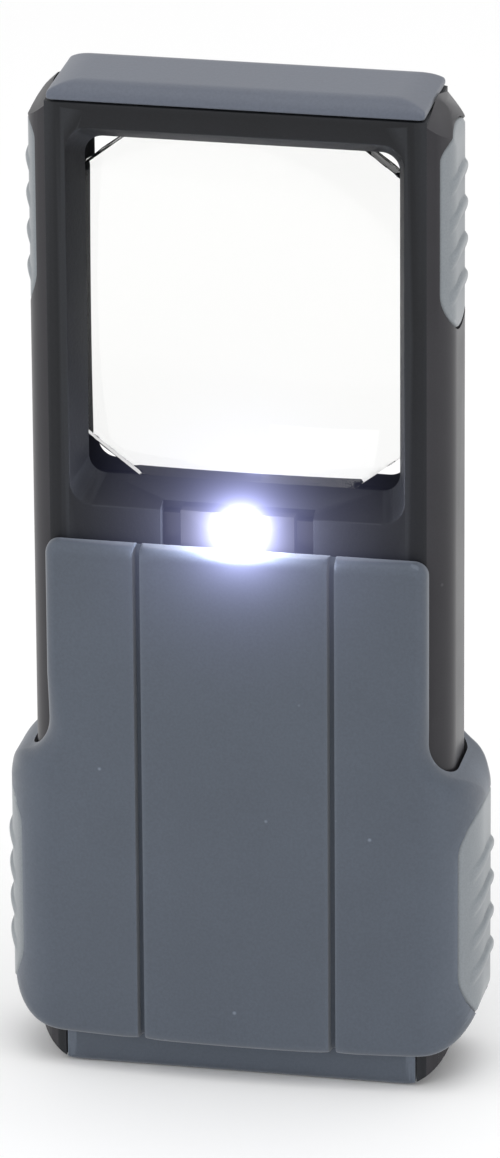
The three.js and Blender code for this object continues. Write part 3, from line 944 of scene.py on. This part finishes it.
class Skin:
    """A grid primitive that is laid over a surface, closed at the back and made solid."""

    @staticmethod
    def lay(name: str, rows: list[list[Point]]) -> bpy.types.Object:
        """Adds a grid and moves its points to the places given for them.

        Args:
            name: The new piece's name.
            rows: Places in millimetres, row by row.

        Returns:
            The sheet, open at its edges.
        """
        wide, tall = len(rows[0]), len(rows)
        bpy.ops.mesh.primitive_grid_add(x_subdivisions=wide - 1, y_subdivisions=tall - 1, size=1)
        obj = bpy.context.active_object
        obj.name = name
        for vertex, place in zip(obj.data.vertices, (point for row in rows for point in row)):
            vertex.co = Vector(place) * MM
        return obj

    @staticmethod
    def close(obj: bpy.types.Object, axis: int, level: float, stretch: EdgeTest) -> None:
        """Extrudes part of the border back to a flat level and fills the flat back.

        Args:
            obj: The open sheet.
            axis: 0 for X or 1 for Y, the way that the back faces.
            level: Place of the flat back in millimetres.
            stretch: Says which border edges still have to reach the back.
        """
        flat = [1.0, 1.0, 1.0]
        flat[axis] = 0.0
        middle = [0.0, 0.0, 0.0]
        middle[axis] = level * MM
        with Bench.editing(obj):
            Bench.pick(Pick.EDGES, lambda edge: edge.is_boundary and stretch(edge))
            bpy.ops.mesh.extrude_edges_move()
            bpy.ops.transform.resize(value=flat, center_override=middle)
            bpy.ops.mesh.select_all(action="SELECT")
            bpy.ops.mesh.remove_doubles(threshold=0.001 * MM)
            Bench.pick(Pick.EDGES, lambda edge: edge.is_boundary)
            bpy.ops.mesh.edge_face_add()
            bpy.ops.mesh.select_all(action="SELECT")
            bpy.ops.mesh.normals_make_consistent(inside=False)


# ---- the sleeve ---------------------------------------------------------------------------


@dataclass
class Sleeve:
    """The soft sleeve that slides up over the lens: two shells and two grips.

    Attributes:
        half: Half its greatest width.
        bottom: Height of its lower edge.
        top: Height of its upper edge.
        crown: Depth of the face at its middle.
        edge: Depth of the face where the side rounding starts.
        tongue: Half the width of the upper part.
        side: Depth where the side rounding ends.
        foot: Radius of the lower corners.
        tip: Radius of the upper corners.
        hollow: Radius of the hollow between tongue and shoulder.
        hollow_z: Height of that hollow's centre.
        shoulder: Radius of the shoulder.
        groove: Distance of the grooves from the middle.
        channel: Half width, half depth and corner radii of the room for the frame.
    """

    half: float = 23.55
    bottom: float = 3.6
    top: float = 55.6
    crown: float = 8.5
    edge: float = 7.4
    tongue: float = 18.8
    side: float = 1.5
    foot: float = 6.0
    tip: float = 1.5
    hollow: float = 4.4
    hollow_z: float = 36.6
    shoulder: float = 3.5
    groove: float = 9.55
    channel: tuple[float, float, float, float] = (21.1, 6.3, 4.3, 4.0)
    outline: list[Flat] = field(default_factory=list)
    plan: list[tuple[float, float, float]] = field(default_factory=list)

    def __post_init__(self) -> None:
        """Works out the right half of the outline and the plan curve."""
        shoulder_x = self.half - self.shoulder
        hollow_x = self.tongue + self.hollow
        drop = math.sqrt((self.hollow + self.shoulder) ** 2 - (hollow_x - shoulder_x) ** 2)
        shoulder_z = self.hollow_z - drop
        meet = math.degrees(math.atan2(drop, hollow_x - shoulder_x))
        foot, tip = self.foot, self.tip
        self.outline = [
            (0.0, self.bottom),
            *arc((self.half - foot, self.bottom + foot), foot, 270, 360),
            *arc((shoulder_x, shoulder_z), self.shoulder, 0, meet),
            *arc((hollow_x, self.hollow_z), self.hollow, 180 + meet, 180),
            *arc((self.tongue - tip, self.top - tip), tip, 0, 90),
            (0.0, self.top),
        ]
        rise = self.crown - self.edge
        across = spread(0, self.tongue, 80)
        flat = [(x, self.edge + rise * (1 - (x / self.tongue) ** 2)) for x in across]
        round_x, round_y = self.half - self.tongue, self.edge - self.side
        turns = [math.radians(a) for a in spread(90, 0, 60)[1:]]
        bend = [(self.tongue + round_x * math.cos(a), self.side + round_y * math.sin(a)) for a in turns]
        length = 0.0
        self.plan = [(0.0, *flat[0])]
        for before, point in zip(flat + bend, (flat + bend)[1:]):
            length += math.dist(before, point)
            self.plan.append((length, *point))

    def width_at(self, z: float) -> float:
        """Half the sleeve's width at a height.

        Args:
            z: The height.

        Returns:
            Half the width.
        """
        widest = 0.0
        for (ax, az), (bx, bz) in zip(self.outline, self.outline[1:]):
            if min(az, bz) - 1e-9 <= z <= max(az, bz) + 1e-9:
                share = 0.0 if az == bz else (z - az) / (bz - az)
                widest = max(widest, bx if az == bz else ax + share * (bx - ax))
        return widest

    def along(self, key: int, value: float) -> tuple[float, float, float]:
        """A point of the plan curve, by its length (key 0) or its x (key 1).

        Args:
            key: 0 to look up by length, or 1 by x.
            value: The length or the x.

        Returns:
            Length, x and depth of the point.
        """
        index = min(max(bisect_left([p[key] for p in self.plan], value), 1), len(self.plan) - 1)
        before, after = self.plan[index - 1], self.plan[index]
        span = after[key] - before[key]
        share = 1.0 if span == 0 else max(0.0, min(1.0, (value - before[key]) / span))
        return tuple(a + share * (b - a) for a, b in zip(before, after))

    def roll_at(self, z: float) -> float:
        """Radius of the rounded rim, which is widest round the shoulders.

        Args:
            z: The height.

        Returns:
            The radius.
        """
        if z > self.hollow_z + 5:
            return 1.0
        if z > 26:
            return 1.0 + 0.9 * math.sin(math.pi * min(1.0, (z - 26) / (self.hollow_z + 5 - 26)))
        return 1.0

    def groove_drop(self, x: float, z: float) -> float:
        """How deep the face lies at a place beside or in a groove.

        Args:
            x: Distance from the middle.
            z: The height.

        Returns:
            The depth, which is nothing away from a groove.
        """
        depth, half, wall = 0.75, 0.34, 0.1
        lip_starts, lip_round, lip_share = 0.24, 0.55, 0.5
        end_round, end_reach, end_share = 1.4, 1.6, 0.35
        off = abs(abs(x) - self.groove)
        slot = depth * max(0.0, min(1.0, (half - off) / wall))
        lip = rolled(max(0.0, off - lip_starts), lip_round) * lip_share
        near_end = min(z - self.bottom, self.top - z)
        end = rolled(near_end, end_round) * max(0.0, 1 - off / end_reach) * end_share
        return slot + lip + end

    def row(self, z: float) -> list[Point]:
        """Places of the right half of one row of the front face, from the middle to the seam.

        Args:
            z: Height of the row.

        Returns:
            The places in order.
        """
        width = self.width_at(z)
        reach = self.along(1, width)[0]
        off = [0.24, 0.3, 0.36, 0.45, 0.6, 0.8, 1.3]
        groove = [self.groove + d for d in (*(-o for o in reversed(off)), 0, *off)]
        inner = [0, 1.6, 3.2, 4.8, 6.2, 7.4, *groove, 12.0, 13.0]
        near = [2.9, 2.3, 1.8, 1.4, 1.1, 0.85, 0.62, 0.44, 0.3, 0.18, 0.09, 0.03, 0.0]
        lengths = [*inner, *spread(13.0, reach - near[0], 9)[1:-1], *(reach - n for n in near)]
        rim = min(self.roll_at(z), 0.5 * self.along(1, width)[2])
        places = []
        for length in lengths:
            _, x, depth = self.along(0, length)
            inside = gap_to(self.outline, x, z)
            places.append((x, -(depth - rolled(inside, rim) - self.groove_drop(x, z)), z))
        return [*places, (width, 0.0, z)]

    def heights(self) -> list[float]:
        """Heights of the rows, closest together where the shape turns most.

        Returns:
            The heights from the lowest up.
        """
        ends = [0.0, 0.03, 0.09, 0.18, 0.3, 0.44, 0.62, 0.85, 1.1, 1.4, 1.8, 2.3, 2.9, 3.6, 4.4, 5.2, 6.0]
        low = [self.bottom + e for e in ends]
        middle = [*spread(11.5, 28.5, 12), *spread(29.3, 37.5, 42), *spread(38.5, 51.0, 9)]
        high = [self.top - e for e in reversed(ends[:14])]
        return [*low, *middle, *high]

    def shell(self, name: str, turn: int) -> bpy.types.Object:
        """Moulds one shell.

        Args:
            name: The piece's name.
            turn: 1 for the front shell or -1 for the back one.

        Returns:
            The shell, hollowed for the frame and with pockets for the grips.
        """
        rows = []
        for z in self.heights():
            right = self.row(z)
            left = [(-x, y, z) for x, y, z in reversed(right[1:])]
            rows.append([(x, turn * y, z) for x, y, z in left + right])
        obj = Skin.lay(name, rows)
        ends = (self.bottom * MM, self.top * MM)

        def at_end(edge: bmesh.types.BMEdge) -> bool:
            """Says whether an edge runs along the top or bottom row, apart from its two seam edges."""
            level = any(all(abs(v.co.z - end) < 1e-7 for v in edge.verts) for end in ends)
            return level and all(abs(v.co.y) > 1e-6 for v in edge.verts)

        Skin.close(obj, 1, 0.0, at_end)
        Bench.carve(obj, self.room())
        for side in (-1, 1):
            Bench.carve(obj, LOWER_GRIP.pocket(side))
        Bench.smooth(obj, 35)
        return obj

    def room(self) -> bpy.types.Object:
        """Makes the room that the frame slides through, as a solid.

        Returns:
            The solid, which reaches out past both ends.
        """
        half, depth, round_x, round_y = self.channel
        tool = Bench.block("room", (-half, -depth, self.bottom - 3), (half, depth, self.top + 3))
        with Bench.editing(tool):
            Bench.pick(Pick.EDGES, lambda edge: abs(edge.verts[0].co.z - edge.verts[1].co.z) > 30 * MM)
            bpy.ops.mesh.bevel(offset=round_y * MM, segments=10, profile=0.5, affect="EDGES")
            for side in (-1, 1):
                start = side * (half - round_y) * MM
                Bench.pick(Pick.VERTS, lambda vertex: vertex.co.x * side > start * side - 1e-7)
                stretch = (round_x / round_y, 1, 1)
                bpy.ops.transform.resize(value=stretch, center_override=(side * half * MM, 0, 0))
        return tool

    def build(self) -> None:
        """Builds the shells and grips."""
        for name, turn, node in (
            ("sleeve_front_skin", 1, "sleeve_front_shell"),
            ("sleeve_back_skin", -1, "sleeve_back_shell"),
        ):
            deliver(self.shell(name, turn), Body.SLEEVE, Finishes.SLEEVE, (node,))
        for name, side in (("left", -1), ("right", 1)):
            grip = LOWER_GRIP.pad(f"lower_{name}_grip_pad", side)
            deliver(grip, Body.SLEEVE, Finishes.RUBBER, (f"sleeve_{name}_grip",))


@dataclass
class Grip:
    """A ribbed rubber pad set into a side of the magnifier.

    Attributes:
        half: Half its width, along Y.
        bottom: Height of its lower end.
        top: Height of its upper end.
        floor: How far from the middle its flat back lies.
        face: How far from the middle its surface lies at the centre line.
        curve: Half depths where the side starts to curve and ends, and the curve's reach in X.
        first: Height of the lowest rib.
        pitch: Distance between ribs.
        tip: Radii of the two upper corners, along Y and Z.
        bend: Centre height and radius of the corner that the pad follows, and 1 if it lies above or -1 below.
        proud: How far a rib stands up.
        gap: Width of the gap round the pad.
        rim: Radius of the pad's edge.
    """

    half: float
    bottom: float
    top: float
    floor: float
    face: float
    curve: tuple[float, float, float]
    first: float
    pitch: float
    tip: tuple[float, float]
    bend: tuple[float, float, int]
    proud: float = 0.42
    gap: float = 0.2
    rim: float = 0.3

    def outline(self, gap: float, steps: int = 16) -> list[Flat]:
        """The closed outline of the pad seen from the side, grown by a gap.

        Args:
            gap: How much larger the outline is.
            steps: Straight pieces in each corner.

        Returns:
            Points in Y and Z.
        """
        half, bottom, top = self.half + gap, self.bottom - gap, self.top + gap
        tip_y, tip_z = (radius + gap for radius in self.tip)
        turns = [math.radians(a) for a in spread(0, 90, steps)]
        corner = [(half - tip_y + tip_y * math.cos(a), top - tip_z + tip_z * math.sin(a)) for a in turns]
        points = [
            *arc((0, bottom + half), half, 180, 360, 2 * steps),
            *corner,
            *((-y, z) for y, z in reversed(corner)),
        ]
        return [*points, points[0]]

    def surface(self, y: float, z: float) -> float:
        """Distance of the side's surface from the middle at a depth and height.

        Args:
            y: Depth.
            z: Height.

        Returns:
            The distance.
        """
        flat, end, reach = self.curve
        over = max(0.0, abs(y) - flat) / (end - flat)
        side = self.face - reach * (1 - math.sqrt(max(0.0, 1 - min(1.0, over) ** 2)))
        centre, radius, way = self.bend
        past = max(0.0, way * (z - centre))
        return min(side, self.face - radius + math.sqrt(max(0.0, radius**2 - past**2)))

    def rib(self, y: float, z: float) -> float:
        """How far the ribs stand up at a place: a crisp upper side and a long soft lower one.

        Args:
            y: Depth.
            z: Height.

        Returns:
            How far the surface stands up.
        """
        ribs, curl, crisp, soft, wide = 4, 0.05, 0.5, 1.15, 0.8
        best = 0.0
        for step in range(ribs):
            bow = curl * y * y
            off = z - (self.first + step * self.pitch - bow)
            reach = crisp if off > 0 else soft
            across = max(0.0, 1 - (off / reach) ** 2)
            length = max(0.0, 1 - (y / (wide * self.half)) ** 2)
            shape = math.sqrt(across) if off > 0 else across**1.2
            best = max(best, shape * math.sqrt(length))
        return best * self.proud

    def pad(self, name: str, side: int) -> bpy.types.Object:
        """Moulds the pad.

        Args:
            name: The piece's name.
            side: 1 for the right side or -1 for the left one.

        Returns:
            The closed pad.
        """
        outline = self.outline(0.0)
        ends = [0.0, 0.04, 0.12, 0.25, 0.42, 0.65]
        heights = [self.bottom + e for e in ends] + [self.top - e for e in ends]
        heights += spread(self.bottom + 1.0, self.top - 1.0, int((self.top - self.bottom) / 0.16))
        rows = []
        for z in sorted(heights):
            wide = self.half_at(z)
            shares = [math.sin(math.pi / 2 * s) for s in spread(-1, 1, 41)]
            row = []
            for y in (wide * share for share in shares):
                inside = gap_to(outline, y, z)
                out = self.surface(y, z) - rolled(inside, self.rim) + self.rib(y, z)
                row.append((side * out, y, z))
            rows.append(row)
        obj = Skin.lay(name, rows)
        Skin.close(obj, 0, side * self.floor, lambda edge: True)
        Bench.smooth(obj, 50)
        return obj

    def half_at(self, z: float) -> float:
        """Half the pad's width at a height.

        Args:
            z: The height.

        Returns:
            Half the width.
        """
        tip_y, tip_z = self.tip
        if z < self.bottom + self.half:
            return math.sqrt(max(0.04, self.half**2 - (self.bottom + self.half - z) ** 2))
        if z > self.top - tip_z:
            share = min(1.0, (z - self.top + tip_z) / tip_z)
            return max(0.2, self.half - tip_y + tip_y * math.sqrt(1 - share**2))
        return self.half

    def pocket(self, side: int) -> bpy.types.Object:
        """Makes the shape of the pocket that the pad lies in, as a solid.

        Args:
            side: 1 for the right side or -1 for the left one.

        Returns:
            The solid, which reaches out past the side.
        """
        points = self.outline(self.gap, 12)[:-1]
        bpy.ops.mesh.primitive_circle_add(vertices=len(points), radius=1, fill_type="NGON")
        tool = bpy.context.active_object
        tool.name = "pocket"
        for vertex, (y, z) in zip(tool.data.vertices, points):
            vertex.co = Vector((side * (self.floor - self.gap), y, z)) * MM
        with Bench.editing(tool):
            bpy.ops.mesh.select_all(action="SELECT")
            reach = (side * 12 * MM, 0, 0)
            bpy.ops.mesh.extrude_region_move(TRANSFORM_OT_translate={"value": reach})
            bpy.ops.mesh.select_all(action="SELECT")
            bpy.ops.mesh.remove_doubles(threshold=0.001 * MM)
            bpy.ops.mesh.normals_make_consistent(inside=False)
        return tool


LOWER_GRIP = Grip(5.9, 6.4, 29.1, 21.6, 23.5, (1.5, 7.4, 4.7), 12.7, 3.6, (4.4, 4.4), (9.6, 6.0, -1))
UPPER_GRIP = Grip(4.6, 77.7, 98.2, 18.95, 20.78, (2.0, 6.0, 4.25), 82.35, 3.7, (4.6, 2.6), (96.1, 5.5, 1))


# ---- the frame ----------------------------------------------------------------------------


@dataclass
class Frame:
    """The frame's moulded parts: two housings, two rails, the caps, the grips and the light's holder.

    Attributes:
        rim: Width of the rounding round the window.
        edge: Width of the rounding of every other edge.
        window: Half width, bottom and top of the opening in the housings' faces.
        face: Depth of the front and back faces.
        voxel: Size of the fine grid that the top cap is smoothed on.
        melt: How many times the top cap is smoothed.
    """

    rim: float = 0.38
    edge: float = 0.14
    window: tuple[float, float, float] = (16.4, 59.05, 97.45)
    face: float = 6.0
    voxel: float = 0.16
    melt: int = 14

    def on_window(self, edge: bmesh.types.BMEdge) -> bool:
        """Says whether an edge runs round the window at the front or back face.

        Args:
            edge: The edge.

        Returns:
            True if both its ends are on the window.
        """
        half, bottom, top = self.window
        for vertex in edge.verts:
            x, y, z = (value / MM for value in vertex.co)
            if abs(abs(y) - self.face) > 0.02 or abs(x) > half + 0.02 or not bottom - 0.02 < z < top + 0.02:
                return False
        return True

    def moulding(self, node: str, name: str, body: Body, finish: Finishes) -> None:
        """Makes one moulded part with softly broken edges.

        Args:
            node: The CAD node that gives its shape.
            name: The piece's name.
            body: The body that carries it.
            finish: Its finish.
        """
        obj = Bench.merged_copy(node, name)
        Bench.soften(obj, self.rim, 4, self.on_window)
        shortest = 0.5 * MM
        Bench.soften(
            obj, self.edge, 2, lambda edge: edge.calc_length() > shortest and not self.on_window(edge)
        )
        Bench.smooth(obj, 32)
        deliver(obj, body, finish, (node,))

    def soft_cap(self, node: str, name: str, body: Body, finish: Finishes) -> None:
        """Makes a cap whose edges and creases melt into each other.

        Args:
            node: The CAD node that gives its shape.
            name: The piece's name.
            body: The body that carries it.
            finish: Its finish.
        """
        obj = Bench.merged_copy(node, name)
        Bench.apply(obj, "REMESH", mode="VOXEL", voxel_size=self.voxel * MM)
        Bench.apply(obj, "SMOOTH", factor=0.5, iterations=self.melt)
        Bench.smooth(obj, 60)
        deliver(obj, body, finish, (node,))

    def build(self) -> None:
        """Builds every moulded part of the frame and drawer that shows."""
        for side in ("front", "back"):
            self.moulding(f"{side}_housing", f"{side}_plate", Body.FRAME, Finishes.PLATE)
        for name, side in (("left", -1), ("right", 1)):
            self.moulding(f"{name}_rail", f"{name}_side_rail", Body.FRAME, Finishes.SATIN)
            pad = UPPER_GRIP.pad(f"upper_{name}_grip_pad", side)
            deliver(pad, Body.FRAME, Finishes.RUBBER, (f"{name}_upper_grip",))
        self.soft_cap("top_cap", "top_cap_cover", Body.FRAME, Finishes.CAP)
        self.moulding("bottom_cap", "bottom_cap_cover", Body.DRAWER, Finishes.SLEEVE)
        self.moulding("led_holder", "lamp_holder", Body.FRAME, Finishes.SATIN)


@dataclass
class Lens:
    """The clear lens: two shallow domes back to back, with its four corners cut off.

    Attributes:
        radius: Radius of both domes.
        corner: How much of each corner is cut off, along X and Z.
        cuts: How often each side of the block is divided before it is domed.
        edge: Width of the rounding round both faces.
    """

    radius: float = 100.0
    corner: tuple[float, float] = (6.6, 5.1)
    cuts: int = 63
    edge: float = 0.2

    def build(self) -> None:
        """Domes a block that fills the CAD lens's box, cuts its corners and polishes it."""
        low, high = (tuple(value / MM for value in corner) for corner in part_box("lens"))
        obj = Bench.block("clear_lens", low, high)
        with Bench.editing(obj):
            bpy.ops.mesh.select_all(action="SELECT")
            bpy.ops.mesh.subdivide(number_cuts=self.cuts)
        middle_z, half_y = (low[2] + high[2]) / 2, (high[1] - low[1]) / 2
        for vertex in obj.data.vertices:
            x, y, z = (value / MM for value in vertex.co)
            sag = self.radius - math.sqrt(self.radius**2 - x**2 - (z - middle_z) ** 2)
            vertex.co.y = y * (1 - sag / half_y) * MM
        for side in (-1, 1):
            for end in (low[2], high[2]):
                self.cut_corner(obj, side * high[0], end, side, 1 if end > middle_z else -1)
        Bench.soften(obj, self.edge, 2, lambda edge: True)
        Bench.smooth(obj, 30)
        deliver(obj, Body.FRAME, Finishes.ACRYLIC, ("lens",))

    def cut_corner(self, obj: bpy.types.Object, x: float, z: float, side: int, way: int) -> None:
        """Cuts one corner off flat.

        Args:
            obj: The domed block.
            x: The corner's X in millimetres.
            z: Its Z.
            side: 1 on the right or -1 on the left.
            way: 1 at the top or -1 at the bottom.
        """
        off_x, off_z = self.corner
        place = ((x - side * off_x) * MM, 0, z * MM)
        normal = Vector((side / off_x, 0, way / off_z)).normalized()
        with Bench.editing(obj):
            bpy.ops.mesh.select_all(action="SELECT")
            bpy.ops.mesh.bisect(plane_co=place, plane_no=normal, use_fill=True, clear_outer=True)


@dataclass
class Lamp:
    """The lit lamp and the glow that it throws on what is round it.

    Attributes:
        place: The middle of the glow, just in front of the lamp's tip.
        watts: Power of the glow.
        size: Radius of the glowing ball in millimetres.
    """

    place: Point = (0.0, -7.6, 57.6)
    watts: float = 0.012
    size: float = 1.2

    def build(self) -> None:
        """Rounds the lamp's dome and hangs its glow."""
        dome = Bench.merged_copy("led", "lamp_dome")
        Bench.smooth(dome, 60)
        deliver(dome, Body.FRAME, Finishes.LAMP, ("led",))
        light = bpy.data.lights.new("lamp_glow", "POINT")
        light.energy = self.watts
        light.color = (0.8, 0.84, 1.0)
        light.shadow_soft_size = self.size * MM
        obj = bpy.data.objects.new("lamp_glow", light)
        bpy.context.scene.collection.objects.link(obj)
        obj.location = Vector(self.place) * MM


# ---- carried-over CAD nodes ---------------------------------------------------------------


@dataclass
class CarriedNodes:
    """CAD nodes whose shape is right already, and which only get a finish.

    Attributes:
        finishes: The finish of each node.
    """

    finishes: dict[str, Finishes] = field(
        default_factory=lambda: {
            "circuit_board": Finishes.BOARD,
            "resistor": Finishes.CHIP,
            "negative_contact": Finishes.BRASS,
            "positive_contact": Finishes.BRASS,
            "switch_leaf": Finishes.BRASS,
            **{f"housing_screw_{number}": Finishes.SCREW for number in (1, 2, 3, 4)},
            "drawer_tray": Finishes.PLATE,
            "coin_cell_1": Finishes.CELL,
            "coin_cell_2": Finishes.CELL,
        }
    )

    def build(self) -> None:
        """Dresses every node that no piece stands for."""
        for name, finish in self.finishes.items():
            dress(frame["nodes"][name], finish)
            LOG.info("%s: carried over with its finish", name)


def main() -> None:
    """Builds the sub-assemblies in order."""
    logging.basicConfig(level=logging.INFO, format="%(name)s %(message)s")
    Studio().build()
    Sleeve().build()
    Frame().build()
    Lens().build()
    Lamp().build()
    CarriedNodes().build()


if __name__ == "__main__":
    main()
